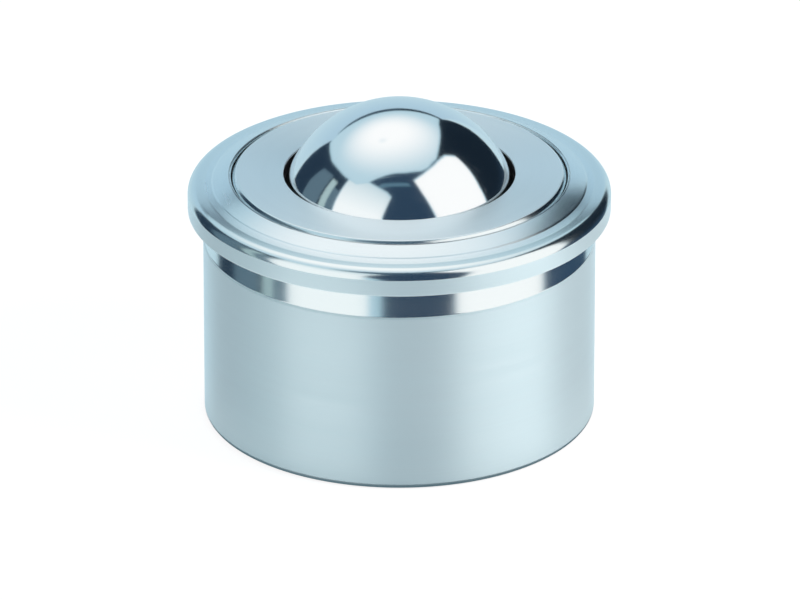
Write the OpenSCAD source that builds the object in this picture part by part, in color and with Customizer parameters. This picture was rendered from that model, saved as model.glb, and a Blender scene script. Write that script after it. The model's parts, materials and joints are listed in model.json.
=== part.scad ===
// Ball transfer unit. A large load ball turns in any direction on a bed of small bearing balls.
// The bed lies in a hardened cup, which sits in a turned housing with a narrow mounting flange.
// A cover plate keeps the ball in, and is locked by the housing's rolled lip.
// Millimetres, +Z up along the unit's axis, origin at the centre of the base.

/* [Load ball] */
// Diameter of the load ball
ball_d = 22.2; // [20:0.1:25.4]

/* [Bearing balls] */
// Diameter of each bearing ball
bearing_d = 4; // [3.6:0.1:4.4]
// Rings of bearing balls around the lowest one
ring_count = 4; // [2:1:4]
// Running clearance between balls, and between a ball and what it rolls on
running_gap = 0.03; // [0.02:0.01:0.06]

/* [Raceway cup] */
// Wall of the hardened cup
cup_wall = 1.2; // [0.8:0.1:2]
// Height of the cup's straight skirt above the ball's centre
cup_skirt = 1.3; // [0.8:0.1:2]

/* [Housing] */
// Wall of the housing around the cup
housing_wall = 1.62; // [1.2:0.01:3]
// Steel left between the cup and the base
base_wall = 2.62; // [1.5:0.01:5]
// Rounding of the base's edge
base_round = 0.5; // [0.2:0.05:1]
// Height of the polished relief below the flange
relief_h = 2.7; // [1:0.1:5]
// Depth of the relief below the body's ground surface
relief_depth = 0.12; // [0.05:0.01:0.3]
// Edge break between the ground surface and the relief
relief_edge = 0.2; // [0.1:0.05:0.5]

/* [Flange] */
// Width of the flange beyond the body
flange_w = 1.4; // [1:0.1:5]
// Thickness of the flange
flange_t = 2.4; // [1.6:0.1:4]
// Rounding of the flange's upper edge
flange_round = 0.85; // [0.3:0.05:1]
// Rounding of the flange's lower edge
flange_edge = 0.25; // [0.1:0.05:0.5]

/* [Rolled lip] */
// Wall of the lip at its foot
lip_wall = 1.17; // [0.8:0.01:1.5]
// Thickness of the lip above the cover's rim, at its inner edge
lip_t = 1.45; // [1:0.05:2]
// Height of the lip's inner edge above the flange
lip_rise = 1.15; // [0.9:0.05:1.4]
// How far the lip reaches in over the cover's rim
lip_reach = 0.76; // [0.4:0.02:1]
// Height of the lip's crown, from its outer shoulder to its inner edge
crown_h = 0.65; // [0.3:0.05:0.8]
// Width of the chamfer at the lip's foot
foot_w = 0.4; // [0.1:0.05:0.5]

/* [Cover plate] */
// Thickness of the cover's rim under the lip
cover_rim_t = 1.7; // [1.3:0.1:2.5]
// Height of the cover's face above the lip
cover_stand = 0.08; // [0:0.02:0.3]
// Gap between the cover's raised face and the lip
lip_gap = 0.12; // [0.06:0.02:0.3]
// Gap between the load ball and the cover's socket
socket_gap = 0.38; // [0.2:0.02:0.45]
// Edge break around the hole and the face
cover_edge = 0.1; // [0.05:0.01:0.2]

/* [Felt seal] */
// Width of the felt ring at its base
felt_w = 2.7; // [1.5:0.1:3.2]
// Thickness of the felt ring
felt_t = 1.2; // [0.6:0.1:1.2]
// Gap between the felt and the load ball
felt_gap = 0.08; // [0.04:0.02:0.16]

/* [Fits] */
// Assembly gap between pieces that are pressed together
press_gap = 0.02; // [0.01:0.01:0.04]

/* [Hidden] */
$fn = 96;
bearing_fn = 32;                                  // sides of a bearing ball in the preview
cut = 1;                                          // how far a cutting shape runs past a face

// Radii, from the load ball outwards
ball_r = ball_d / 2;
pitch_r = ball_r + running_gap + bearing_d / 2;   // sphere that the bearing balls' centres lie on
race_r = ball_r + bearing_d + 2 * running_gap;
cup_r = race_r + cup_wall;
pocket_r = cup_r + press_gap;
body_r = pocket_r + housing_wall;
flange_r = body_r + flange_w;
lip_in_r = pocket_r - lip_reach;
lip_foot_r = pocket_r + lip_wall;
crown_r = lip_foot_r - foot_w;
face_r = lip_in_r - lip_gap;
cover_r = pocket_r - press_gap;
socket_r = ball_r + socket_gap;

// Heights, from the base upwards
centre_z = base_wall + pocket_r;
cup_top_z = centre_z + cup_skirt;
cover_rim_z = cup_top_z + cover_rim_t;
lip_z = cover_rim_z + press_gap;
lip_top_z = lip_z + lip_t;
crown_z = lip_top_z - crown_h;
flange_top_z = lip_top_z - lip_rise;
flange_z = flange_top_z - flange_t;
relief_z = flange_z - relief_h;
face_z = lip_top_z + cover_stand;
felt_top_z = cup_top_z + felt_t;

// The felt's groove, measured from where the ball passes its lower face
felt_in_r = sqrt(pow(ball_r + felt_gap, 2) - pow(cup_skirt, 2));
felt_r = felt_in_r + felt_w;

// Bearing balls: one at the bottom of the bed, and rings that are one ball apart around it
ring_step = asin((bearing_d + 2 * running_gap) / pitch_r);
function ring_size(ring) =
    ring == 0 ? 1 : floor(180 / asin((bearing_d + running_gap) / (2 * pitch_r * sin(ring * ring_step))));
// Polar angle and azimuth of every bearing ball; every other ring is turned by half a ball
bearing_places = [
    for (ring = [0 : ring_count], k = [0 : ring_size(ring) - 1])
        [ring * ring_step, 360 * (k + (ring % 2) / 2) / ring_size(ring)]
];
bearing_count = len(bearing_places);
function bearing_name(i) = str("bearing_ball_", i < 10 ? "0" : "", i);

steel = [0.74, 0.79, 0.82];
ground_steel = [0.66, 0.74, 0.78];
hard_steel = [0.50, 0.55, 0.60];
polished_steel = [0.85, 0.88, 0.90];
felt_grey = [0.22, 0.22, 0.24];

// Flat section tools: x is the radius and y the height

// Rectangle between two radii and two heights
module band(r_in, r_out, z_low, z_high) {
    translate([r_in, z_low]) square([r_out - r_in, z_high - z_low]);
}

// Waste left by rounding the corner at [x, y], whose material lies towards [sx, sy]
module corner_waste(x, y, sx, sy, radius) {
    translate([x, y]) scale([sx, sy]) difference() {
        translate([-cut, -cut]) square(radius + cut);
        translate([radius, radius]) circle(radius);
    }
}

// Housing: turned body, relief, flange and the lip rolled over the cover's rim
module housing() {
    color(ground_steel) rotate_extrude() difference() {
        union() {
            band(0, body_r, 0, flange_z);
            band(0, flange_r, flange_z, flange_top_z);
            lip_section();
        }
        corner_waste(body_r, 0, -1, 1, base_round);
        corner_waste(flange_r, flange_z, -1, 1, flange_edge);
        corner_waste(flange_r, flange_top_z, -1, -1, flange_round);
        relief_waste();
        pocket_waste();
    }
}

// Lip above the flange: a chamfered foot and a convex crown
module lip_section() {
    crown_w = crown_r - lip_in_r;
    crown_round = (crown_w * crown_w + crown_h * crown_h) / (2 * crown_h);
    band(0, crown_r, flange_top_z, crown_z);
    polygon([
        [crown_r - cut, flange_top_z], [lip_foot_r, flange_top_z], [crown_r, crown_z], [crown_r - cut, crown_z]
    ]);
    intersection() {
        band(lip_in_r, crown_r, crown_z - cut, lip_top_z);
        translate([lip_in_r, lip_top_z - crown_round]) circle(crown_round);
    }
}

// Shallow turned relief, with a broken edge towards the ground surface
module relief_waste() {
    relief_r = body_r - relief_depth;
    band(relief_r, body_r + cut, relief_z, flange_z);
    polygon([
        [relief_r, relief_z], [body_r, relief_z - relief_edge], [body_r + cut, relief_z - relief_edge],
        [body_r + cut, relief_z]
    ]);
}

// Room for the cup and the cover, from below: round bottom, straight bore, mouth of the lip
module pocket_waste() {
    intersection() {
        translate([0, centre_z]) circle(pocket_r);
        band(0, pocket_r, 0, centre_z);
    }
    band(0, pocket_r, centre_z, lip_z);
    band(0, lip_in_r, lip_z, face_z + cut);
}

// Hardened cup: the hemispherical race that the bearing balls roll in, and a short skirt
module raceway_cup() {
    color(hard_steel) rotate_extrude() difference() {
        cup_section(cup_r, 0);
        cup_section(race_r, cut);
    }
}

module cup_section(radius, past_top) {
    intersection() {
        translate([0, centre_z]) circle(radius);
        band(0, radius, 0, centre_z);
    }
    band(0, radius, centre_z, cup_top_z + past_top);
}

// One bearing ball in its place in the bed
module bearing_ball(i) {
    polar = bearing_places[i - 1][0];
    azimuth = bearing_places[i - 1][1];
    color(polished_steel) rotate([0, 0, azimuth])
        translate([pitch_r * sin(polar), 0, centre_z - pitch_r * cos(polar)])
            sphere(d = bearing_d, $fn = bearing_fn);
}

module load_ball() {
    color(polished_steel) translate([0, 0, centre_z]) sphere(r = ball_r);
}

// Felt ring in the cover's groove; its bore follows the ball
module felt_seal() {
    color(felt_grey) rotate_extrude() difference() {
        band(0, felt_r - press_gap, cup_top_z, felt_top_z);
        translate([0, centre_z]) circle(ball_r + felt_gap);
    }
}

// Cover plate: a rim that the lip holds down on the cup, a raised face, a groove for the felt,
// and a socket that follows the ball and closes in above its widest part
module cover_plate() {
    hole_r = sqrt(pow(socket_r, 2) - pow(face_z - centre_z, 2));
    color(steel) rotate_extrude() difference() {
        union() {
            band(0, cover_r, cup_top_z, cover_rim_z);
            band(0, face_r, cover_rim_z, face_z);
        }
        translate([0, centre_z]) circle(socket_r);
        band(0, felt_r, cup_top_z - cut, felt_top_z);
        polygon([
            [0, face_z + cut], [face_r + cut, face_z + cut], [face_r + cut, face_z - cover_edge - cut],
            [face_r, face_z - cover_edge], [face_r - cover_edge, face_z], [hole_r + cover_edge, face_z],
            [hole_r - cover_edge, face_z - cover_edge * 2], [0, face_z - cover_edge * 2]
        ]);
    }
}

housing();
raceway_cup();
for (i = [1 : bearing_count]) bearing_ball(i);
load_ball();
felt_seal();
cover_plate();
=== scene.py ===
import json
import math

import bmesh
import bpy
from mathutils import Matrix, Vector

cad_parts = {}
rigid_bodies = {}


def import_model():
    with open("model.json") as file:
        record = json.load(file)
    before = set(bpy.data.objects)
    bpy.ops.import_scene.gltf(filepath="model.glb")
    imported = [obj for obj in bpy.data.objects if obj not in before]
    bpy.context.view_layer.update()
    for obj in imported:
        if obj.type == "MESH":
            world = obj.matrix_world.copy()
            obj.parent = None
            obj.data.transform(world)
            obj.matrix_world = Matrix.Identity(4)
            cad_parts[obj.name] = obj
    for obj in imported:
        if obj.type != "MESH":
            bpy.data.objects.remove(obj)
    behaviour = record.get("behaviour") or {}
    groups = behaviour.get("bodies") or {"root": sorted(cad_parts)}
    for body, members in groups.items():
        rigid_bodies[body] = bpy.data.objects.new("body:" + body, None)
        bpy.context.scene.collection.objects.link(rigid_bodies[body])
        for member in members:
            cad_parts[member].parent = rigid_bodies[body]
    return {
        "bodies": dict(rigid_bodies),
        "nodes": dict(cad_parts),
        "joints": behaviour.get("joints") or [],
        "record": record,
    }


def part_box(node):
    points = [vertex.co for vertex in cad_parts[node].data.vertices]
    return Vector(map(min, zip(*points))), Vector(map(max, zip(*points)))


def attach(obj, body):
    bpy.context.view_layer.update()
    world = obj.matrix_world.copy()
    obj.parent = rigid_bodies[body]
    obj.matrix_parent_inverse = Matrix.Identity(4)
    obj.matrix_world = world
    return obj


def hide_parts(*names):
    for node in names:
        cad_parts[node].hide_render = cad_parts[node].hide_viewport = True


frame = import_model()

bl_info = {
    "name": "Ball transfer unit",
    "version": (1, 0, 0),
    "blender": (4, 5, 0),
    "location": "View3D > Sidebar > Ball unit",
    "description": "Dresses the turned pieces and balls of a ball transfer unit around its solid model",
    "category": "Add Mesh",
}

MM = 0.001
FULL_TURN = 2 * math.pi
ROUND_STEPS = 288
MERGE_DISTANCE = 0.0005 * MM
DISC_STEPS = 96
TABLE_RADIUS = 3.0
CARD_FOOT = -38  # degrees below level at which every wall and box ends
WALL_TOP = 80  # degrees
FRAME_WIDTH = 1.2  # degrees

# Sizes that the solid model gives
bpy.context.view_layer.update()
housing_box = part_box("housing")
cup_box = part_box("raceway_cup")
cover_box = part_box("cover_plate")
felt_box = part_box("felt_seal")
ball_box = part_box("load_ball")
mounts = {mount["name"]: mount for mount in frame["record"]["mounts"]}
bearing_names = sorted(name for name in frame["nodes"] if name.startswith("bearing_ball_"))


def middle(box):
    """Centre of a box given by its two corners."""
    return (Vector(box[0]) + Vector(box[1])) / 2


def half_width(box):
    """Half of a box's size across."""
    return (box[1][0] - box[0][0]) / 2


def half_height(box):
    """Half of a box's height."""
    return (box[1][2] - box[0][2]) / 2


# Settings a user may change


def length(name, description, default):
    """A length in metres, shown with its unit."""
    return bpy.props.FloatProperty(name=name, description=description, default=default, min=0.0,
                                   unit="LENGTH", precision=5)


def angle(name, description, degrees):
    """An angle, with its default in degrees."""
    return bpy.props.FloatProperty(name=name, description=description, default=math.radians(degrees),
                                   subtype="ANGLE")


def colour(name, description, default):
    """A plain colour."""
    return bpy.props.FloatVectorProperty(name=name, description=description, default=default, size=3,
                                         min=0.0, max=1.0, subtype="COLOR")


def share(name, description, default):
    """A value from 0 to 1."""
    return bpy.props.FloatProperty(name=name, description=description, default=default, min=0.0, max=1.0,
                                   subtype="FACTOR")


def power(name, description, default, **unit):
    """A lamp's power."""
    return bpy.props.FloatProperty(name=name, description=description, default=default, min=0.0, **unit)


class HousingSizes(bpy.types.PropertyGroup):
    """Section of the turned housing."""

    body_r: length("Body radius", "Radius of the ground body", mounts["body"]["dims"]["r_mm"] * MM)
    base_round: length("Base rounding", "Rounding of the base's edge", 0.5 * MM)
    relief_h: length("Relief height", "Height of the polished relief below the flange", 2.7 * MM)
    relief_depth: length("Relief depth", "Depth of the relief below the ground surface", 0.12 * MM)
    relief_edge: length("Relief edge", "Height of the edge break under the relief", 0.2 * MM)
    flange_r: length("Flange radius", "Radius of the flange", half_width(housing_box))
    flange_z: length("Flange seat", "Height of the flange's lower face", mounts["flange_seat"]["pos_m"][2])
    flange_edge: length("Flange lower edge", "Rounding of the flange's lower edge", 0.25 * MM)
    flange_round: length("Flange rounding", "Rounding of the flange's upper edge", 0.85 * MM)
    flange_fall: length("Flange fall", "Fall of the flange's top from the lip to its edge", 0.15 * MM)
    lip_top_z: length("Lip height", "Height of the rolled lip's inner edge", housing_box[1][2])
    lip_rise: length("Lip rise", "Height of the lip's inner edge above the flange", 1.08 * MM)
    lip_t: length("Lip thickness", "Thickness of the lip over the cover's rim", 1.45 * MM)
    lip_reach: length("Lip reach", "How far the lip reaches in over the cover's rim", 0.95 * MM)
    lip_wall: length("Lip wall", "Wall of the lip at its foot", 1.52 * MM)
    crown_h: length("Crown height", "Height of the lip's crown", 0.67 * MM)
    crown_tilt: angle("Crown tilt", "Fall of the crown at the lip's inner edge", 19)
    step_w: length("Step width", "Width of the steep step round the crown", 0.12 * MM)
    step_h: length("Step height", "Height of the steep step round the crown", 0.1 * MM)
    foot_w: length("Foot width", "Distance from the crown's edge to the lip's foot", 0.8 * MM)
    foot_fillet: length("Foot fillet", "Hollow rounding where the lip's foot meets the flange", 0.1 * MM)
    lip_edge: length("Lip edge", "Rounding of the lip's inner edge", 0.25 * MM)
    edge_break: length("Edge break", "Small rounding of the turned edges", 0.05 * MM)


class CoverSizes(bpy.types.PropertyGroup):
    """Section of the cover plate, the felt and the cup."""

    rim_r: length("Rim radius", "Radius of the cover's rim", cover_box[1][0])
    rim_t: length("Rim thickness", "Thickness of the rim under the lip", 1.7 * MM)
    lip_gap: length("Lip gap", "Gap between the raised face and the lip", 0.12 * MM)
    face_edge: length("Face edge", "Width of the raised face's chamfer beside the lip", 0.32 * MM)
    face_drop: length("Face drop", "Depth of the raised face's chamfer beside the lip", 0.38 * MM)
    socket_gap: length("Socket gap", "Gap between the load ball and the socket", 0.38 * MM)
    groove_gap: length("Groove gap", "Gap around the felt in its groove", 0.02 * MM)
    cover_edge: length("Cover edge", "Edge break around the hole and the rim", 0.1 * MM)
    felt_gap: length("Felt gap", "Gap between the felt and the load ball", 0.08 * MM)
    cup_wall: length("Cup wall", "Wall of the hardened cup", 1.2 * MM)
    press_gap: length("Press gap", "Gap between pieces that are pressed together", 0.02 * MM)


class Finishes(bpy.types.PropertyGroup):
    """Colours and gloss of the metals and the felt."""

    ground: colour("Ground steel", "Colour of the ground body", (0.82, 0.94, 0.98))
    ground_roughness: share("Ground roughness", "Roughness of the ground body", 0.62)
    ground_grain: share("Ground grain", "How far the grinding spreads reflections", 0.9)
    ground_metal: share("Ground metal", "Share of the ground body's light that it reflects as a metal", 0.6)
    polished: colour("Polished steel", "Colour of the polished turning", (0.90, 0.955, 0.96))
    polished_roughness: share("Polished roughness", "Roughness of the polished turning", 0.18)
    lip: colour("Rolled steel", "Colour of the rolled lip", (0.88, 0.95, 0.98))
    lip_roughness: share("Lip roughness", "Roughness of the rolled lip", 0.26)
    flange_metal: share("Flange metal", "Share of the flange wall's light that it reflects as a metal", 0.58)
    faced: colour("Faced steel", "Colour of the turned faces", (0.87, 0.92, 0.945))
    faced_roughness: share("Faced roughness", "Roughness of the turned faces", 0.36)
    faced_metal: share("Faced metal", "Share of the turned faces' light that they reflect as a metal", 0.8)
    ball: colour("Ball steel", "Colour of the load ball", (0.965, 0.985, 0.99))
    ball_roughness: share("Ball roughness", "Roughness of the load ball", 0.09)
    race: colour("Hardened steel", "Colour of the hardened cup", (0.30, 0.32, 0.36))
    felt: colour("Felt", "Colour of the felt ring", (0.045, 0.045, 0.05))


class Studio(bpy.types.PropertyGroup):
    """Camera, lamp and the light boxes and walls that the metal reflects."""

    distance: length("Distance", "Distance from the camera to the unit", 0.933)
    elevation: angle("Elevation", "How far the camera looks down", 24.78)
    watched_z: length("Watched height", "Height that the camera's distance is measured from", 15 * MM)
    aim_x: length("Aim across", "Where the camera aims, across", 0.06 * MM)
    aim_z: length("Aim height", "Where the camera aims, upwards", 10.62 * MM)
    lens: bpy.props.FloatProperty(name="Lens", description="Focal length", default=457.0, unit="CAMERA")
    lamp_power: power("Lamp power", "Power of the soft lamp", 3.4, unit="POWER")
    rim_power: power("Rim power", "Strength of the weak suns behind the unit", 1.7)
    rim_light: colour("Rim light", "Colour of the weak suns behind the unit", (1.0, 1.0, 1.0))
    overhead_z: length("Overhead height", "Height of the overhead light box above the load ball", 0.3)
    fill: colour("Fill light", "Colour of the soft light from all round", (0.42, 0.60, 0.66))
    back_fill: colour("Fill light behind", "Colour of the soft light from behind", (0.60, 0.70, 0.74))
    light_box: colour("Light box", "Colour of the light boxes", (1.0, 1.0, 1.0))
    soft_box: colour("Soft box", "Colour of the softer box in front", (0.92, 0.96, 0.97))
    soft_box_top: colour("Soft box's top", "Colour of the top of the softer box in front", (0.62, 0.74, 0.79))
    strip: colour("Strip", "Colour of the bright strip beside the window", (0.38, 0.52, 0.54))
    box_edge: colour("Box edge", "Colour that the overhead box falls off to", (0.48, 0.66, 0.75))
    box_frame: colour("Box frame", "Colour of the dimmer frame round each light box", (0.40, 0.60, 0.70))
    back_wall: colour("Back wall", "Colour of the wall behind the unit", (0.42, 0.60, 0.72))
    low_wall: colour("Back wall's foot", "Colour of the foot of the wall behind the unit", (0.54, 0.72, 0.80))
    window: colour("Window", "Colour of the dim window at the left", (0.10, 0.165, 0.215))
    seam: colour("Seam", "Colour of the faint strip between the boxes in front", (0.10, 0.20, 0.27))
    navy_wall: colour("Dark wall", "Colour of the dark walls", (0.026, 0.054, 0.095))
    black_wall: colour("Black wall", "Colour of the darkest wall, at the right", (0.008, 0.016, 0.027))
    contact_shade: colour("Contact shade", "Colour of the shade round the unit's foot", (0.10, 0.17, 0.20))
    table: colour("Table", "Colour of the table top where only the lamps light it", (0.3, 0.3, 0.3))
    table_glow: colour("Table glow", "Colour that the table top adds to show white", (1.0, 0.965, 0.955))
    table_strength: power("Table strength", "Strength of the table top's glow", 0.78)


# Shader tools


def add_node(tree, kind, inputs=None, **settings):
    """A node with its settings, and each input set to a value or linked to a socket."""
    made = tree.nodes.new(kind)
    for name, value in settings.items():
        setattr(made, name, value)
    for socket, value in (inputs or {}).items():
        if isinstance(value, bpy.types.NodeSocket):
            tree.links.new(value, made.inputs[socket])
        else:
            made.inputs[socket].default_value = value
    return made


def calculate(tree, operation, first, second=0.0, third=0.0):
    """The result of one sum on values or sockets."""
    return add_node(tree, "ShaderNodeMath", {0: first, 1: second, 2: third}, operation=operation).outputs[0]


def blend_colours(tree, factor, first, second):
    """Colour between two others, by a factor."""
    mix = add_node(tree, "ShaderNodeMix", {"Factor": factor}, data_type="RGBA")
    for socket, value in (("A", first), ("B", second)):
        index = [i for i, s in enumerate(mix.inputs) if s.name == socket and s.type == "RGBA"][0]
        if isinstance(value, bpy.types.NodeSocket):
            tree.links.new(value, mix.inputs[index])
        else:
            mix.inputs[index].default_value = (*value, 1.0)
    return [s for s in mix.outputs if s.type == "RGBA"][0]


def spread(tree, value, low, high):
    """A value from 0 to 1 spread between two others."""
    return add_node(tree, "ShaderNodeMapRange", {"Value": value, "To Min": low, "To Max": high}).outputs[0]


def new_group(name, inputs, outputs):
    """An empty shader node group, with its input and output nodes."""
    tree = bpy.data.node_groups.new(name, "ShaderNodeTree")
    for socket, default in inputs.items():
        made = tree.interface.new_socket(socket, in_out="INPUT", socket_type="NodeSocketFloat")
        made.default_value = default
    for socket in outputs:
        tree.interface.new_socket(socket, in_out="OUTPUT", socket_type="NodeSocketFloat")
    return tree, tree.nodes.new("NodeGroupInput"), tree.nodes.new("NodeGroupOutput")


def use_group(tree, name, **values):
    """A node group placed in a material with its own values."""
    made = add_node(tree, "ShaderNodeGroup", node_tree=bpy.data.node_groups[name])
    for socket, value in values.items():
        made.inputs[socket].default_value = value
    return made.outputs


def make_turning_marks():
    """Fine lines round the unit's axis, as a lathe or a grinding wheel leaves them."""
    tree, given, result = new_group("turning_marks", {"Pitch": 0.1 * MM, "Runout": 1.0}, ["Marks", "Bands"])
    place = add_node(tree, "ShaderNodeTexCoord").outputs["Object"]
    flat = add_node(tree, "ShaderNodeVectorMath", {0: place, 1: (1.0, 1.0, 0.0)},
                    operation="MULTIPLY").outputs[0]
    radius = add_node(tree, "ShaderNodeVectorMath", {0: flat}, operation="LENGTH").outputs["Value"]
    bearing = add_node(tree, "ShaderNodeVectorMath", {0: flat}, operation="NORMALIZE").outputs[0]
    height = add_node(tree, "ShaderNodeSeparateXYZ", {0: place}).outputs["Z"]
    around = add_node(tree, "ShaderNodeSeparateXYZ", {0: bearing}).outputs
    for output, coarseness in (("Marks", 1.0), ("Bands", 9.0)):
        pitch = calculate(tree, "MULTIPLY", given.outputs["Pitch"], coarseness)
        where = add_node(tree, "ShaderNodeCombineXYZ", {
            "X": calculate(tree, "MULTIPLY", around["X"], given.outputs["Runout"]),
            "Y": calculate(tree, "MULTIPLY", around["Y"], given.outputs["Runout"]),
            "Z": calculate(tree, "DIVIDE", height, pitch),
        }).outputs[0]
        noise = add_node(tree, "ShaderNodeTexNoise", {
            "Vector": where, "W": calculate(tree, "DIVIDE", radius, pitch), "Scale": 1.0, "Detail": 2.0,
        }, noise_dimensions="4D")
        tree.links.new(noise.outputs[0], result.inputs[output])


def make_hairlines():
    """Sparse fine scratches in all directions, and the faint cloudiness of a handled surface."""
    tree, given, result = new_group("hairlines", {"Size": 1 * MM, "Sparseness": 0.72}, ["Scratches", "Haze"])
    place = add_node(tree, "ShaderNodeTexCoord").outputs["Object"]
    scale = calculate(tree, "DIVIDE", 1.0, given.outputs["Size"])
    scaled = add_node(tree, "ShaderNodeVectorMath", {0: place, "Scale": scale}, operation="SCALE").outputs[0]
    lines = None
    for turn in ((0.4, 0.9, 0.2), (1.3, 0.1, 1.1), (0.2, 2.1, 0.8)):
        turned = add_node(tree, "ShaderNodeMapping", {
            "Vector": scaled, "Rotation": turn, "Scale": (0.12, 3.0, 0.5),
        }).outputs[0]
        noise = add_node(tree, "ShaderNodeTexNoise", {"Vector": turned, "Scale": 2.0, "Detail": 1.0})
        line = add_node(tree, "ShaderNodeMapRange", {
            "Value": noise.outputs[0], "From Min": given.outputs["Sparseness"], "From Max": 0.8,
        }).outputs[0]
        lines = line if lines is None else calculate(tree, "MAXIMUM", lines, line)
    tree.links.new(lines, result.inputs["Scratches"])
    haze = add_node(tree, "ShaderNodeTexNoise", {"Vector": scaled, "Scale": 0.16, "Detail": 3.0})
    tree.links.new(haze.outputs[0], result.inputs["Haze"])


def new_material(name, **constants):
    """A material with a Principled shader, whose constants are set on its own sockets."""
    material = bpy.data.materials.new(name)
    material.use_nodes = True
    tree = material.node_tree
    shader = next(n for n in tree.nodes if n.type == "BSDF_PRINCIPLED")
    for socket, value in constants.items():
        shader.inputs[socket.replace("_", " ")].default_value = value
    return material, tree, shader


def brighten(shade, factor):
    """A colour times a factor, kept within 1."""
    return tuple(min(part * factor, 1.0) for part in shade)


def turned_metal(name, shade, roughness, pitch, depth, contrast, grain=0.0, metal=1.0):
    """Metal with fine marks round its axis; grain spreads its reflections across the marks."""
    material, tree, shader = new_material(name, Metallic=metal, Anisotropic=grain, Anisotropic_Rotation=0.25)
    marks = use_group(tree, "turning_marks", Pitch=pitch)
    tone = calculate(tree, "ADD", calculate(tree, "MULTIPLY", marks["Marks"], 0.5),
                     calculate(tree, "MULTIPLY", marks["Bands"], 0.5))
    tree.links.new(blend_colours(tree, tone, brighten(shade, 1 - contrast), brighten(shade, 1 + contrast)),
                   shader.inputs["Base Color"])
    tree.links.new(spread(tree, marks["Bands"], roughness * 0.85, roughness * 1.15),
                   shader.inputs["Roughness"])
    bump = add_node(tree, "ShaderNodeBump", {"Height": marks["Marks"], "Strength": 1.0, "Distance": depth})
    tree.links.new(bump.outputs[0], shader.inputs["Normal"])
    if grain:
        tangent = add_node(tree, "ShaderNodeTangent", direction_type="RADIAL", axis="Z")
        tree.links.new(tangent.outputs[0], shader.inputs["Tangent"])
    return material


def polished_ball_metal(name, shade, roughness, size):
    """Mirror-polished steel with hairline scratches and a faint haze."""
    material, tree, shader = new_material(name, Metallic=1.0)
    wear = use_group(tree, "hairlines", Size=size)
    tree.links.new(blend_colours(tree, wear["Haze"], brighten(shade, 0.985), shade),
                   shader.inputs["Base Color"])
    dulled = calculate(tree, "MULTIPLY_ADD", wear["Scratches"], roughness,
                       spread(tree, wear["Haze"], roughness * 0.8, roughness * 1.3))
    tree.links.new(dulled, shader.inputs["Roughness"])
    return material


def felt_cloth(name, shade):
    """Pressed wool fibres."""
    material, tree, shader = new_material(name, Roughness=0.95)
    place = add_node(tree, "ShaderNodeTexCoord").outputs["Object"]
    fibres = add_node(tree, "ShaderNodeTexNoise", {"Vector": place, "Scale": 4000.0, "Detail": 4.0})
    tree.links.new(blend_colours(tree, fibres.outputs[0], brighten(shade, 0.5), brighten(shade, 1.6)),
                   shader.inputs["Base Color"])
    bump = add_node(tree, "ShaderNodeBump", {"Height": fibres.outputs[0], "Distance": 0.1 * MM})
    tree.links.new(bump.outputs[0], shader.inputs["Normal"])
    return material


# Turning tools


class Section:
    """A section in the XZ plane, drawn point by point; x is the radius."""

    def __init__(self, radius, height):
        self.bm = bmesh.new()
        self.tip = self.bm.verts.new((radius, 0.0, height))
        self.start = self.tip

    def line(self, radius, height):
        """A straight stretch to a new point."""
        end = self.bm.verts.new((radius, 0.0, height))
        self.bm.edges.new((self.tip, end))
        self.tip = end

    def arc(self, centre_r, centre_z, angle, steps):
        """A round stretch about a centre; a positive angle turns from +X towards -Z."""
        made = bmesh.ops.spin(self.bm, geom=[self.tip], cent=(centre_r, 0.0, centre_z), axis=(0.0, 1.0, 0.0),
                              angle=angle, steps=steps)
        self.tip = next(part for part in made["geom_last"] if isinstance(part, bmesh.types.BMVert))

    def close(self):
        """The last stretch, back to the first point."""
        self.bm.edges.new((self.tip, self.start))

    def turn(self, steps=ROUND_STEPS):
        """The section spun once round the axis, with its seam and poles closed."""
        bm = self.bm
        bmesh.ops.spin(bm, geom=bm.verts[:] + bm.edges[:], cent=(0.0, 0.0, 0.0), axis=(0.0, 0.0, 1.0),
                       angle=FULL_TURN, steps=steps, use_merge=True)
        bmesh.ops.remove_doubles(bm, verts=bm.verts[:], dist=MERGE_DISTANCE)
        bmesh.ops.recalc_face_normals(bm, faces=bm.faces[:])
        return bm


def ring_edges(bm, radius, height, reach=0.004 * MM):
    """Edges of the turned ring at a radius and height."""
    def on_ring(vert):
        return abs(vert.co.xy.length - radius) < reach and abs(vert.co.z - height) < reach
    return [edge for edge in bm.edges if all(on_ring(vert) for vert in edge.verts)]


def round_ring(bm, radius, height, size, segments=3):
    """Rounds the ring at a radius and height."""
    bmesh.ops.bevel(bm, geom=ring_edges(bm, radius, height), offset=size, offset_type="OFFSET",
                    segments=segments, profile=0.5, affect="EDGES", material=-1, clamp_overlap=False)


def finish_piece(name, bm, materials, body, nodes):
    """A smooth-shaded piece in the unit's frame, riding on its body in place of its solids."""
    mesh = bpy.data.meshes.new(name)
    bmesh.ops.recalc_face_normals(bm, faces=bm.faces[:])
    for face in bm.faces:
        face.smooth = True
    bm.to_mesh(mesh)
    bm.free()
    piece = bpy.data.objects.new(name, mesh)
    bpy.context.scene.collection.objects.link(piece)
    for material in materials:
        mesh.materials.append(material)
    even = piece.modifiers.new("even_shading", "WEIGHTED_NORMAL")
    even.keep_sharp = True
    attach(piece, body)
    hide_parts(*nodes)


# Pieces


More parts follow.
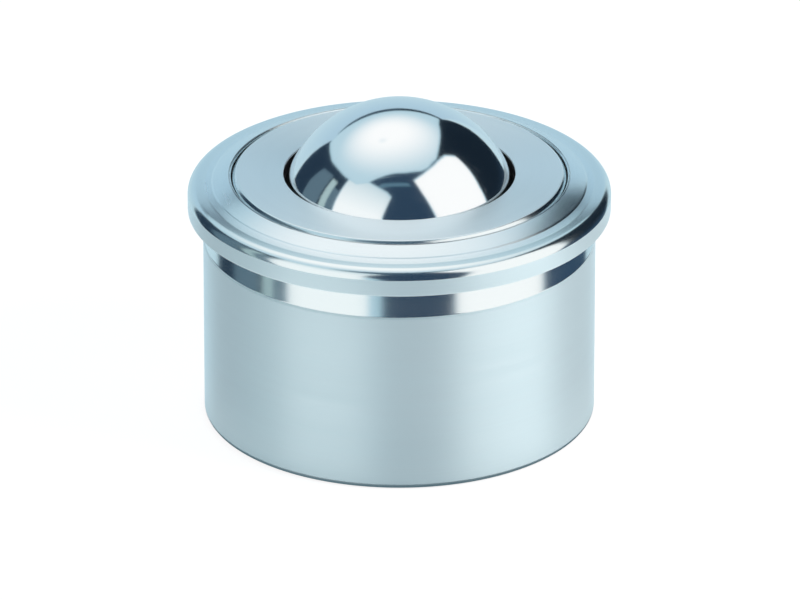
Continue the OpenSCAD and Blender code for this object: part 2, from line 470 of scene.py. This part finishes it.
class BALLUNIT_OT_housing(bpy.types.Operator):
    """Turned housing: ground body, polished relief, flange and the lip rolled over the cover"""

    bl_idname = "ball_unit.housing"
    bl_label = "Housing"

    def execute(self, context):
        size = context.scene.ball_unit_housing
        cover = context.scene.ball_unit_cover
        finish = context.scene.ball_unit_finishes
        centre_z = middle(ball_box).z
        pocket_r = cup_box[1][0] + cover.press_gap
        lip_in_r = pocket_r - size.lip_reach
        lip_foot_r = pocket_r + size.lip_wall
        crown_r = lip_foot_r - size.foot_w
        crown_z = size.lip_top_z - size.crown_h
        step_r = crown_r + size.step_w
        step_z = crown_z - size.step_h
        lip_z = size.lip_top_z - size.lip_t
        flange_top_z = size.lip_top_z - size.lip_rise
        lip_foot_z = flange_top_z + size.flange_fall
        relief_r = size.body_r - size.relief_depth
        relief_z = size.flange_z - size.relief_h
        ground_top = relief_z - size.relief_edge

        # The crown is an arc that falls from its tilt at the lip's inner edge to a steeper one outside
        crown_w = crown_r - lip_in_r
        crown_end = 2 * math.atan(size.crown_h / crown_w) - size.crown_tilt
        crown_round = crown_w / (math.sin(crown_end) - math.sin(size.crown_tilt))
        crown_middle_r = lip_in_r - crown_round * math.sin(size.crown_tilt)
        crown_middle_z = size.lip_top_z - crown_round * math.cos(size.crown_tilt)

        section = Section(0.0, 0.0)
        section.line(size.body_r, 0.0)
        section.line(size.body_r, ground_top)
        section.line(relief_r, relief_z)
        section.line(relief_r, size.flange_z)
        section.line(size.flange_r, size.flange_z)
        section.line(size.flange_r, flange_top_z)
        section.line(lip_foot_r, lip_foot_z)
        section.line(step_r, step_z)
        section.line(crown_r, crown_z)
        section.arc(crown_middle_r, crown_middle_z, size.crown_tilt - crown_end, 16)
        section.line(lip_in_r, lip_z)
        section.line(pocket_r, lip_z)
        section.line(pocket_r, centre_z)
        section.arc(0.0, centre_z, math.radians(90), 40)

        bm = section.turn()
        round_ring(bm, size.body_r, 0.0, size.base_round, 6)
        round_ring(bm, size.flange_r, size.flange_z, size.flange_edge, 5)
        round_ring(bm, size.flange_r, flange_top_z, size.flange_round, 12)
        round_ring(bm, size.body_r, ground_top, size.edge_break)
        round_ring(bm, relief_r, relief_z, size.edge_break)
        round_ring(bm, relief_r, size.flange_z, size.edge_break)
        round_ring(bm, lip_foot_r, lip_foot_z, size.foot_fillet, 4)
        round_ring(bm, step_r, step_z, size.edge_break / 2)
        round_ring(bm, crown_r, crown_z, size.edge_break / 2)
        round_ring(bm, lip_in_r, size.lip_top_z, size.lip_edge, 5)

        ground, polished, lip, base, pocket, flange_wall = range(6)
        flange_wall_top = flange_top_z - size.flange_round
        lip_bottom = lip_foot_z + size.edge_break
        for face in bm.faces:
            place = face.calc_center_median()
            radius = place.xy.length
            outside = radius > crown_r or place.z > lip_z
            on_body = radius > relief_r and size.base_round < place.z < relief_z
            on_flange_wall = radius > size.flange_r - size.flange_edge and place.z < flange_wall_top
            if on_body:
                face.material_index = ground
            elif on_flange_wall:
                face.material_index = flange_wall
            elif outside and ground_top < place.z < lip_bottom:
                face.material_index = polished
            elif outside and place.z > ground_top:
                face.material_index = lip
            elif place.z < size.base_round:
                face.material_index = base
            else:
                face.material_index = pocket

        finish_piece("housing_turning", bm, [
            turned_metal("ground_wall", finish.ground, finish.ground_roughness, pitch=0.09 * MM,
                         depth=0.0004 * MM, contrast=0.03, grain=finish.ground_grain,
                         metal=finish.ground_metal),
            turned_metal("polished_turning", finish.polished, finish.polished_roughness, pitch=0.16 * MM,
                         depth=0.0002 * MM, contrast=0.02, grain=0.4),
            turned_metal("rolled_lip", finish.lip, finish.lip_roughness, pitch=0.2 * MM,
                         depth=0.0002 * MM, contrast=0.03, grain=0.65),
            turned_metal("faced_base", finish.faced, finish.faced_roughness, pitch=0.14 * MM,
                         depth=0.001 * MM, contrast=0.05, grain=0.7),
            turned_metal("bored_pocket", brighten(finish.faced, 0.8), finish.faced_roughness, pitch=0.2 * MM,
                         depth=0.001 * MM, contrast=0.05),
            turned_metal("flange_wall", finish.ground, finish.ground_roughness, pitch=0.09 * MM,
                         depth=0.0004 * MM, contrast=0.03, grain=finish.ground_grain,
                         metal=finish.flange_metal),
        ], "housing", ["housing"])
        return {"FINISHED"}


class BALLUNIT_OT_raceway_cup(bpy.types.Operator):
    """Hardened cup that the bearing balls roll in"""

    bl_idname = "ball_unit.raceway_cup"
    bl_label = "Raceway cup"

    def execute(self, context):
        cover = context.scene.ball_unit_cover
        finish = context.scene.ball_unit_finishes
        centre_z = middle(ball_box).z
        outer_r = cup_box[1][0]
        race_r = outer_r - cover.cup_wall
        top_z = cup_box[1][2]

        section = Section(0.0, centre_z - outer_r)
        section.arc(0.0, centre_z, math.radians(-90), 40)
        section.line(outer_r, top_z)
        section.line(race_r, top_z)
        section.line(race_r, centre_z)
        section.arc(0.0, centre_z, math.radians(90), 40)
        bm = section.turn(192)
        for radius in (outer_r, race_r):
            round_ring(bm, radius, top_z, cover.cover_edge)

        finish_piece("hardened_cup", bm, [
            turned_metal("hardened_race", finish.race, roughness=0.18, pitch=0.12 * MM,
                         depth=0.0004 * MM, contrast=0.06),
        ], "housing", ["raceway_cup"])
        return {"FINISHED"}


class BALLUNIT_OT_bearing_balls(bpy.types.Operator):
    """Bed of small bearing balls between the cup and the load ball"""

    bl_idname = "ball_unit.bearing_balls"
    bl_label = "Bearing balls"

    def execute(self, context):
        finish = context.scene.ball_unit_finishes
        metal = polished_ball_metal("bearing_ball_steel", brighten(finish.ball, 0.9), roughness=0.05,
                                    size=0.5 * MM)
        for name in bearing_names:
            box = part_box(name)
            bm = bmesh.new()
            bmesh.ops.create_icosphere(bm, subdivisions=4, radius=half_height(box),
                                       matrix=Matrix.Translation(middle(box)))
            piece_name = name.replace("bearing_ball", "small_ball")
            finish_piece(piece_name, bm, [metal], name, [name])
        return {"FINISHED"}


class BALLUNIT_OT_load_ball(bpy.types.Operator):
    """Large polished ball that carries the load"""

    bl_idname = "ball_unit.load_ball"
    bl_label = "Load ball"

    def execute(self, context):
        finish = context.scene.ball_unit_finishes
        bm = bmesh.new()
        bmesh.ops.create_icosphere(bm, subdivisions=7, radius=half_height(ball_box),
                                   matrix=Matrix.Translation(middle(ball_box)))
        finish_piece("large_ball", bm, [
            polished_ball_metal("load_ball_steel", finish.ball, finish.ball_roughness, size=1.0 * MM),
        ], "load_ball", ["load_ball"])
        return {"FINISHED"}


class BALLUNIT_OT_felt_seal(bpy.types.Operator):
    """Felt ring that wipes the load ball"""

    bl_idname = "ball_unit.felt_seal"
    bl_label = "Felt seal"

    def execute(self, context):
        cover = context.scene.ball_unit_cover
        finish = context.scene.ball_unit_finishes
        centre_z = middle(ball_box).z
        wiper_r = half_height(ball_box) + cover.felt_gap
        low_z, top_z = felt_box[0][2], felt_box[1][2]
        outer_r = felt_box[1][0]
        low = math.asin((low_z - centre_z) / wiper_r)
        top = math.asin((top_z - centre_z) / wiper_r)

        section = Section(wiper_r * math.cos(low), low_z)
        section.line(outer_r, low_z)
        section.line(outer_r, top_z)
        section.line(wiper_r * math.cos(top), top_z)
        section.arc(0.0, centre_z, top - low, 8)
        bm = section.turn(144)
        for height in (low_z, top_z):
            round_ring(bm, outer_r, height, cover.cover_edge)

        felt = felt_cloth("pressed_felt", finish.felt)
        finish_piece("felt_ring", bm, [felt], "housing", ["felt_seal"])
        return {"FINISHED"}


class BALLUNIT_OT_cover_plate(bpy.types.Operator):
    """Cover plate whose socket closes in above the load ball's widest part"""

    bl_idname = "ball_unit.cover_plate"
    bl_label = "Cover plate"

    def execute(self, context):
        cover = context.scene.ball_unit_cover
        size = context.scene.ball_unit_housing
        finish = context.scene.ball_unit_finishes
        centre_z = middle(ball_box).z
        low_z, face_z = cover_box[0][2], cover_box[1][2]
        rim_z = low_z + cover.rim_t
        face_r = cup_box[1][0] + cover.press_gap - size.lip_reach - cover.lip_gap
        chamfer_r = face_r - cover.face_edge
        socket_r = half_height(ball_box) + cover.socket_gap
        groove_r = felt_box[1][0] + cover.groove_gap
        groove_z = felt_box[1][2]
        hole_r = math.sqrt(socket_r ** 2 - (face_z - centre_z) ** 2)
        break_r = hole_r + cover.cover_edge
        break_z = face_z - 2 * cover.cover_edge
        drop_z = face_z - cover.face_drop
        socket_low = math.asin((groove_z - centre_z) / socket_r)
        socket_high = math.asin((break_z - centre_z) / socket_r)

        section = Section(groove_r, low_z)
        section.line(cover.rim_r, low_z)
        section.line(cover.rim_r, rim_z)
        section.line(face_r, rim_z)
        section.line(face_r, drop_z)
        section.line(chamfer_r, face_z)
        section.line(break_r, face_z)
        section.line(socket_r * math.cos(socket_high), break_z)
        section.arc(0.0, centre_z, socket_high - socket_low, 12)
        section.line(groove_r, groove_z)
        section.close()
        bm = section.turn()
        round_ring(bm, chamfer_r, face_z, cover.cover_edge)
        round_ring(bm, face_r, drop_z, cover.cover_edge / 2)
        round_ring(bm, break_r, face_z, cover.cover_edge / 2)
        round_ring(bm, cover.rim_r, rim_z, cover.cover_edge)

        faced, edge, socket = range(3)
        for face in bm.faces:
            place = face.calc_center_median()
            if place.z > rim_z and place.xy.length > chamfer_r:
                face.material_index = edge
            # The socket faces round the load ball take a darker copy of the faced steel: painted shade in the
            # gap.
            elif groove_z < place.z < break_z and place.xy.length < groove_r:
                face.material_index = socket
            else:
                face.material_index = faced

        finish_piece("turned_cover", bm, [
            turned_metal("faced_cover", finish.faced, finish.faced_roughness, pitch=0.12 * MM,
                         depth=0.0006 * MM, contrast=0.03, grain=0.7, metal=finish.faced_metal),
            turned_metal("polished_edge", finish.polished, finish.polished_roughness, pitch=0.16 * MM,
                         depth=0.0002 * MM, contrast=0.02),
            # Darker copy of the faced steel for the socket: painted shade, not a different finish.
            turned_metal("oiled_socket", brighten(finish.faced, 0.3), finish.faced_roughness, pitch=0.12 * MM,
                         depth=0.0006 * MM, contrast=0.05),
        ], "housing", ["cover_plate"])
        return {"FINISHED"}


# Stage


def glow(name, shade):
    """A plain glowing colour, for the cards round the unit."""
    material = bpy.data.materials.new(name)
    material.use_nodes = True
    material.cycles.emission_sampling = "NONE"
    tree = material.node_tree
    tree.nodes.clear()
    light = add_node(tree, "ShaderNodeEmission", {"Color": (*shade, 1.0), "Strength": 1.0})
    out = add_node(tree, "ShaderNodeOutputMaterial")
    tree.links.new(light.outputs[0], out.inputs["Surface"])
    return material


def blend_glow(material, factor, first, second):
    """Lets a glow's colour go from one to another by a factor."""
    tree = material.node_tree
    light = next(n for n in tree.nodes if n.type == "EMISSION")
    tree.links.new(blend_colours(tree, factor, first, second), light.inputs["Color"])


def stage_object(name, bm, material):
    """A piece of the studio, which belongs to the stage and not to the unit."""
    mesh = bpy.data.meshes.new(name)
    bm.to_mesh(mesh)
    bm.free()
    mesh.materials.append(material)
    thing = bpy.data.objects.new(name, mesh)
    bpy.context.scene.collection.objects.link(thing)
    return thing


def show_in_reflections(thing):
    """A card that stands where only reflections see it."""
    for ray in ("camera", "diffuse", "transmission", "volume_scatter", "shadow"):
        setattr(thing, "visible_" + ray, False)


def direction(azimuth, elevation):
    """Unit vector from two angles in degrees. Azimuth 0 is the camera's side, and it grows to the right."""
    across, up = math.radians(azimuth), math.radians(elevation)
    return Vector((math.sin(across) * math.cos(up), -math.cos(across) * math.cos(up), math.sin(up)))


def card(name, facing, corners, material, distance=0.4):
    """A flat card that faces the load ball from one direction, with its corners in other directions."""
    ahead = direction(*facing)
    bm = bmesh.new()
    outline = []
    for corner in corners:
        towards = direction(*corner)
        outline.append(bm.verts.new(middle(ball_box) + towards * distance / towards.dot(ahead)))
    bm.faces.new(outline)
    show_in_reflections(stage_object(name, bm, material))


def framed_card(name, facing, corners, material, frame, distance=0.4):
    """A light box with a dimmer frame round it, which softens its edge in reflections."""
    card(name, facing, corners, material, distance)
    middle_az, middle_el = (sum(angles) / len(corners) for angles in zip(*corners))
    wider = [(azimuth + math.copysign(FRAME_WIDTH, azimuth - middle_az),
              elevation + math.copysign(FRAME_WIDTH, elevation - middle_el))
             for azimuth, elevation in corners]
    card(name + "_frame", facing, wider, frame, distance * 1.02)


def curved_wall(name, azimuths, elevations, material, radius=1.0):
    """A wall bent round the unit, between two azimuths and two elevations in degrees."""
    bm = bmesh.new()
    low, high = (math.radians(angle) for angle in elevations)
    start = bm.verts.new(direction(azimuths[0], elevations[0]) * radius)
    across = Matrix.Rotation(math.radians(azimuths[0]), 3, "Z") @ Vector((1.0, 0.0, 0.0))
    bmesh.ops.spin(bm, geom=[start], cent=(0.0, 0.0, 0.0), axis=-across, angle=high - low, steps=16)
    bmesh.ops.spin(bm, geom=bm.verts[:] + bm.edges[:], cent=(0.0, 0.0, 0.0), axis=(0.0, 0.0, 1.0),
                   angle=math.radians(azimuths[1] - azimuths[0]), steps=48)
    bmesh.ops.translate(bm, verts=bm.verts[:], vec=middle(ball_box))
    show_in_reflections(stage_object(name, bm, material))


def softbox_glow(name, bright_spot, reach, dim_spot, middle_shade, edge_shade):
    """A light box that falls off to its edges from a bright spot, with a small dim spot over its bulb."""
    material = glow(name, edge_shade)
    tree = material.node_tree
    place = add_node(tree, "ShaderNodeTexCoord").outputs["Object"]
    from_bright = add_node(tree, "ShaderNodeVectorMath", {0: place, 1: bright_spot}, operation="DISTANCE")
    fall = add_node(tree, "ShaderNodeMapRange",
                    {"Value": from_bright.outputs["Value"], "From Min": reach * 0.15, "From Max": reach},
                    interpolation_type="SMOOTHSTEP").outputs[0]
    from_dim = add_node(tree, "ShaderNodeVectorMath", {0: place, 1: dim_spot}, operation="DISTANCE")
    dip = add_node(tree, "ShaderNodeMapRange",
                   {"Value": from_dim.outputs["Value"], "From Min": 0.0, "From Max": reach * 0.09,
                    "To Min": 0.3, "To Max": 0.0},
                   interpolation_type="SMOOTHSTEP").outputs[0]
    blend_glow(material, calculate(tree, "MAXIMUM", fall, dip), middle_shade, edge_shade)
    return material


def fading_glow(name, top_shade, low_shade, top_z, low_z):
    """A strip that fades from one colour at its top to another at its foot."""
    material = glow(name, top_shade)
    tree = material.node_tree
    place = add_node(tree, "ShaderNodeTexCoord").outputs["Object"]
    height = add_node(tree, "ShaderNodeSeparateXYZ", {0: place}).outputs["Z"]
    rise = add_node(tree, "ShaderNodeMapRange",
                    {"Value": height, "From Min": low_z, "From Max": top_z}).outputs[0]
    blend_glow(material, rise, low_shade, top_shade)
    return material


class BALLUNIT_OT_stage(bpy.types.Operator):
    """White table and background, cards for the metal to reflect, a soft lamp and the camera"""

    bl_idname = "ball_unit.stage"
    bl_label = "Stage"

    def execute(self, context):
        studio = context.scene.ball_unit_studio
        self.add_world(context.scene, studio)
        self.add_floor(studio)
        self.add_walls(studio)
        self.add_boxes(studio)
        self.add_contact_shade(studio)
        self.add_lamps(context.scene, studio)
        self.add_camera(context.scene, studio)
        return {"FINISHED"}

    def add_world(self, scene, studio):
        """White to the camera and to polished metal, and weaker fill light for dull surfaces."""
        world = bpy.data.worlds.new("white_studio")
        world.use_nodes = True
        background = next(n for n in world.node_tree.nodes if n.type == "BACKGROUND")
        rays = add_node(world.node_tree, "ShaderNodeLightPath").outputs
        seen = calculate(world.node_tree, "ADD", rays["Is Camera Ray"], rays["Is Glossy Ray"])
        seen = calculate(world.node_tree, "ADD", seen, rays["Is Transmission Ray"])
        ahead = add_node(world.node_tree, "ShaderNodeTexCoord").outputs["Generated"]
        backwards = add_node(world.node_tree, "ShaderNodeSeparateXYZ", {0: ahead}).outputs["Y"]
        fill = blend_colours(world.node_tree, spread(world.node_tree, backwards, 0.0, 1.0), studio.fill,
                             studio.back_fill)
        shade = blend_colours(world.node_tree, seen, fill, studio.light_box)
        world.node_tree.links.new(shade, background.inputs["Color"])
        world.cycles.sampling_method = "NONE"
        scene.world = world
        scene.view_settings.view_transform = "Standard"

    def add_floor(self, studio):
        """White table top that glows enough to show white and still takes the unit's shadow."""
        bm = bmesh.new()
        bmesh.ops.create_circle(bm, cap_ends=True, segments=DISC_STEPS, radius=TABLE_RADIUS)
        bmesh.ops.translate(bm, verts=bm.verts[:], vec=(0.0, 0.0, -0.02 * MM))
        material = bpy.data.materials.new("table_top")
        material.use_nodes = True
        tree = material.node_tree
        tree.nodes.clear()
        matt = add_node(tree, "ShaderNodeBsdfDiffuse", {"Color": (*studio.table, 1.0)})
        lit = add_node(tree, "ShaderNodeEmission",
                       {"Color": (*studio.table_glow, 1.0), "Strength": studio.table_strength})
        both = add_node(tree, "ShaderNodeAddShader", {0: matt.outputs[0], 1: lit.outputs[0]})
        out = add_node(tree, "ShaderNodeOutputMaterial")
        tree.links.new(both.outputs[0], out.inputs["Surface"])
        floor = stage_object("table", bm, material)
        floor.visible_glossy = False
        floor.visible_shadow = False

    def add_walls(self, studio):
        """Dark walls round the unit, and the pale wall behind it."""
        curved_wall("front_wall", (-75, 90), (CARD_FOOT, WALL_TOP), glow("front_wall", studio.navy_wall))
        curved_wall("left_wall", (-180, -75), (CARD_FOOT, WALL_TOP),
                    glow("left_wall", brighten(studio.navy_wall, 0.65)))
        curved_wall("black_wall", (90, 180), (CARD_FOOT, WALL_TOP),
                    fading_glow("black_wall", studio.black_wall, brighten(studio.navy_wall, 1.25),
                                top_z=0.1, low_z=-0.4))
        curved_wall("back_wall", (157, 223), (CARD_FOOT, 28.5),
                    fading_glow("back_wall", studio.back_wall, studio.low_wall, top_z=0.4, low_z=-0.3),
                    radius=0.97)
        pale = glow("low_wall", studio.low_wall)
        card("back_wall_right", (150, 0),
             ((158, 28.5), (158, CARD_FOOT), (144, CARD_FOOT), (143.5, -8), (153, 12)), pale, distance=0.7)
        card("back_wall_left", (-134, 0),
             ((-140, 20), (-134, -20), (-134, CARD_FOOT), (-140, CARD_FOOT)), pale, distance=0.7)

    def add_boxes(self, studio):
        """Light boxes in front of the dark walls, and one overhead."""
        dim = glow("box_frame", studio.box_frame)
        soft = fading_glow("soft_box", studio.soft_box_top, studio.soft_box, top_z=0.42, low_z=0.19)
        framed_card("left_box", (-43, 5),
                    ((-73, 46), (-45, 50), (-17, 46), (-11, 42), (-18, 23), (-18, CARD_FOOT),
                     (-67, CARD_FOOT)),
                    soft, dim)
        card("left_box_side", (-43, 5), ((-17, 10), (-10, -10), (-10, CARD_FOOT), (-18, CARD_FOOT)),
             glow("left_box_side", studio.box_frame), distance=0.41)
        framed_card("right_box", (65, 10),
                    ((25, 57), (45, 59.5), (70, 59.5), (90, 57), (102, 53), (108, 44), (97, 20),
                     (91, CARD_FOOT), (31.5, CARD_FOOT), (38, 21), (31, 43)),
                    glow("right_box", studio.light_box), dim)
        card("seam_strip", (-6, 54), ((-30, 49), (-28, 53.5), (14, 56), (18, 52.5)),
             glow("seam_strip", studio.seam))
        left = (-92, 0)
        card("left_window", left, ((-113, 14), (-109, 28), (-92, 34), (-90, CARD_FOOT), (-113, CARD_FOOT)),
             glow("left_window", studio.window))
        card("left_strip", left, ((-90, 33), (-82, 34), (-78, CARD_FOOT), (-86, CARD_FOOT)),
             glow("left_strip", studio.strip))
        card("left_edge", left, ((-82, 30), (-73, 30), (-69, CARD_FOOT), (-78, CARD_FOOT)),
             glow("left_edge", studio.window))

        upwards = (0, 90)
        height = studio.overhead_z
        bright_spot, dim_spot = (middle(ball_box) + direction(*spot) * height / direction(*spot).z
                                 for spot in ((-160, 67.5), (-137, 72)))
        outline = ((-135, 28), (-110, 36), (-80, 42.5), (-60, 45), (-47, 51), (-28, 62.5), (-12, 66.5),
                   (15, 67), (45, 64), (60, 63), (90, 61), (135, 51.5), (152, 40), (158, 32))
        lit = softbox_glow("overhead_box", bright_spot, height, dim_spot, studio.light_box, studio.box_edge)
        card("overhead_box", upwards, outline, lit, distance=height)
        wider = [(azimuth, elevation - FRAME_WIDTH) for azimuth, elevation in outline]
        card("overhead_box_frame", upwards, wider, dim, distance=height * 1.02)

    def add_contact_shade(self, studio):
        """Shade on the table round the unit's foot, which its lower edge reflects."""
        near_r = 1.1 * cup_box[1][0]
        far_r = 1.4 * cup_box[1][0]
        bm = bmesh.new()
        bmesh.ops.create_circle(bm, cap_ends=True, segments=DISC_STEPS, radius=far_r)
        bmesh.ops.translate(bm, verts=bm.verts[:], vec=(0.0, 0.0, -0.01 * MM))
        material = glow("contact_shade", studio.light_box)
        tree = material.node_tree
        place = add_node(tree, "ShaderNodeTexCoord").outputs["Object"]
        away = add_node(tree, "ShaderNodeVectorMath", {0: place}, operation="LENGTH").outputs["Value"]
        fade = add_node(tree, "ShaderNodeMapRange", {"Value": away, "From Min": near_r, "From Max": far_r},
                        interpolation_type="SMOOTHSTEP").outputs[0]
        blend_glow(material, fade, studio.contact_shade, studio.light_box)
        show_in_reflections(stage_object("contact_shade", bm, material))

    def add_lamps(self, scene, studio):
        """A soft lamp at the right, and two weak suns from behind that lift the body's sides."""
        lamp = bpy.data.lights.new("soft_lamp", "AREA")
        lamp.shape = "DISK"
        lamp.size = 0.5
        lamp.energy = studio.lamp_power
        self.place_lamp(scene, lamp, azimuth=71.6, elevation=32.3, distance=0.935)
        for name, azimuth, share_of_rim in (("rim_right", 115, 1.0), ("rim_left", -130, 0.7)):
            rim = bpy.data.lights.new(name, "SUN")
            rim.color = studio.rim_light
            rim.energy = studio.rim_power * share_of_rim
            rim.angle = math.radians(30)
            rim.use_shadow = False
            self.place_lamp(scene, rim, azimuth, elevation=15, distance=1.0)

    def place_lamp(self, scene, lamp, azimuth, elevation, distance):
        """A lamp that looks at the unit's foot and shows in no reflection."""
        holder = bpy.data.objects.new(lamp.name, lamp)
        holder.location = direction(azimuth, elevation) * distance
        holder.rotation_euler = (-holder.location).to_track_quat("-Z", "Y").to_euler()
        holder.visible_glossy = False
        scene.collection.objects.link(holder)

    def add_camera(self, scene, studio):
        """A camera in front, a little above the unit."""
        camera = bpy.data.cameras.new("camera")
        camera.lens = studio.lens
        camera.clip_start = 0.05
        camera.clip_end = 10.0
        holder = bpy.data.objects.new("camera", camera)
        holder.location = (0.0, -studio.distance * math.cos(studio.elevation),
                           studio.watched_z + studio.distance * math.sin(studio.elevation))
        towards = Vector((studio.aim_x, 0.0, studio.aim_z)) - holder.location
        holder.rotation_euler = towards.to_track_quat("-Z", "Y").to_euler()
        scene.collection.objects.link(holder)
        scene.camera = holder


# Panel and registration

OPERATORS = (
    BALLUNIT_OT_housing,
    BALLUNIT_OT_raceway_cup,
    BALLUNIT_OT_bearing_balls,
    BALLUNIT_OT_load_ball,
    BALLUNIT_OT_felt_seal,
    BALLUNIT_OT_cover_plate,
    BALLUNIT_OT_stage,
)
SETTINGS = {
    "ball_unit_housing": HousingSizes,
    "ball_unit_cover": CoverSizes,
    "ball_unit_finishes": Finishes,
    "ball_unit_studio": Studio,
}


class BALLUNIT_PT_pieces(bpy.types.Panel):
    """Buttons that make each piece, and the settings behind them"""

    bl_idname = "BALLUNIT_PT_pieces"
    bl_label = "Ball transfer unit"
    bl_space_type = "VIEW_3D"
    bl_region_type = "UI"
    bl_category = "Ball unit"

    def draw(self, context):
        for operator in OPERATORS:
            self.layout.operator(operator.bl_idname)
        for name, group in SETTINGS.items():
            box = self.layout.box()
            box.label(text=group.__doc__)
            for setting in group.__annotations__:
                box.prop(getattr(context.scene, name), setting)


def register():
    """Makes the settings, the operators and the panel known to Blender."""
    for group in SETTINGS.values():
        bpy.utils.register_class(group)
    for name, group in SETTINGS.items():
        setattr(bpy.types.Scene, name, bpy.props.PointerProperty(type=group))
    for part in (*OPERATORS, BALLUNIT_PT_pieces):
        bpy.utils.register_class(part)


def unregister():
    """Takes them away again."""
    for part in reversed((*OPERATORS, BALLUNIT_PT_pieces)):
        bpy.utils.unregister_class(part)
    for name in SETTINGS:
        delattr(bpy.types.Scene, name)
    for group in reversed(SETTINGS.values()):
        bpy.utils.unregister_class(group)


def main():
    """Makes every piece and the stage."""
    register()
    make_turning_marks()
    make_hairlines()
    bpy.ops.ball_unit.housing()
    bpy.ops.ball_unit.raceway_cup()
    bpy.ops.ball_unit.bearing_balls()
    bpy.ops.ball_unit.load_ball()
    bpy.ops.ball_unit.felt_seal()
    bpy.ops.ball_unit.cover_plate()
    bpy.ops.ball_unit.stage()
    bpy.context.view_layer.update()


if __name__ == "__main__":
    main()
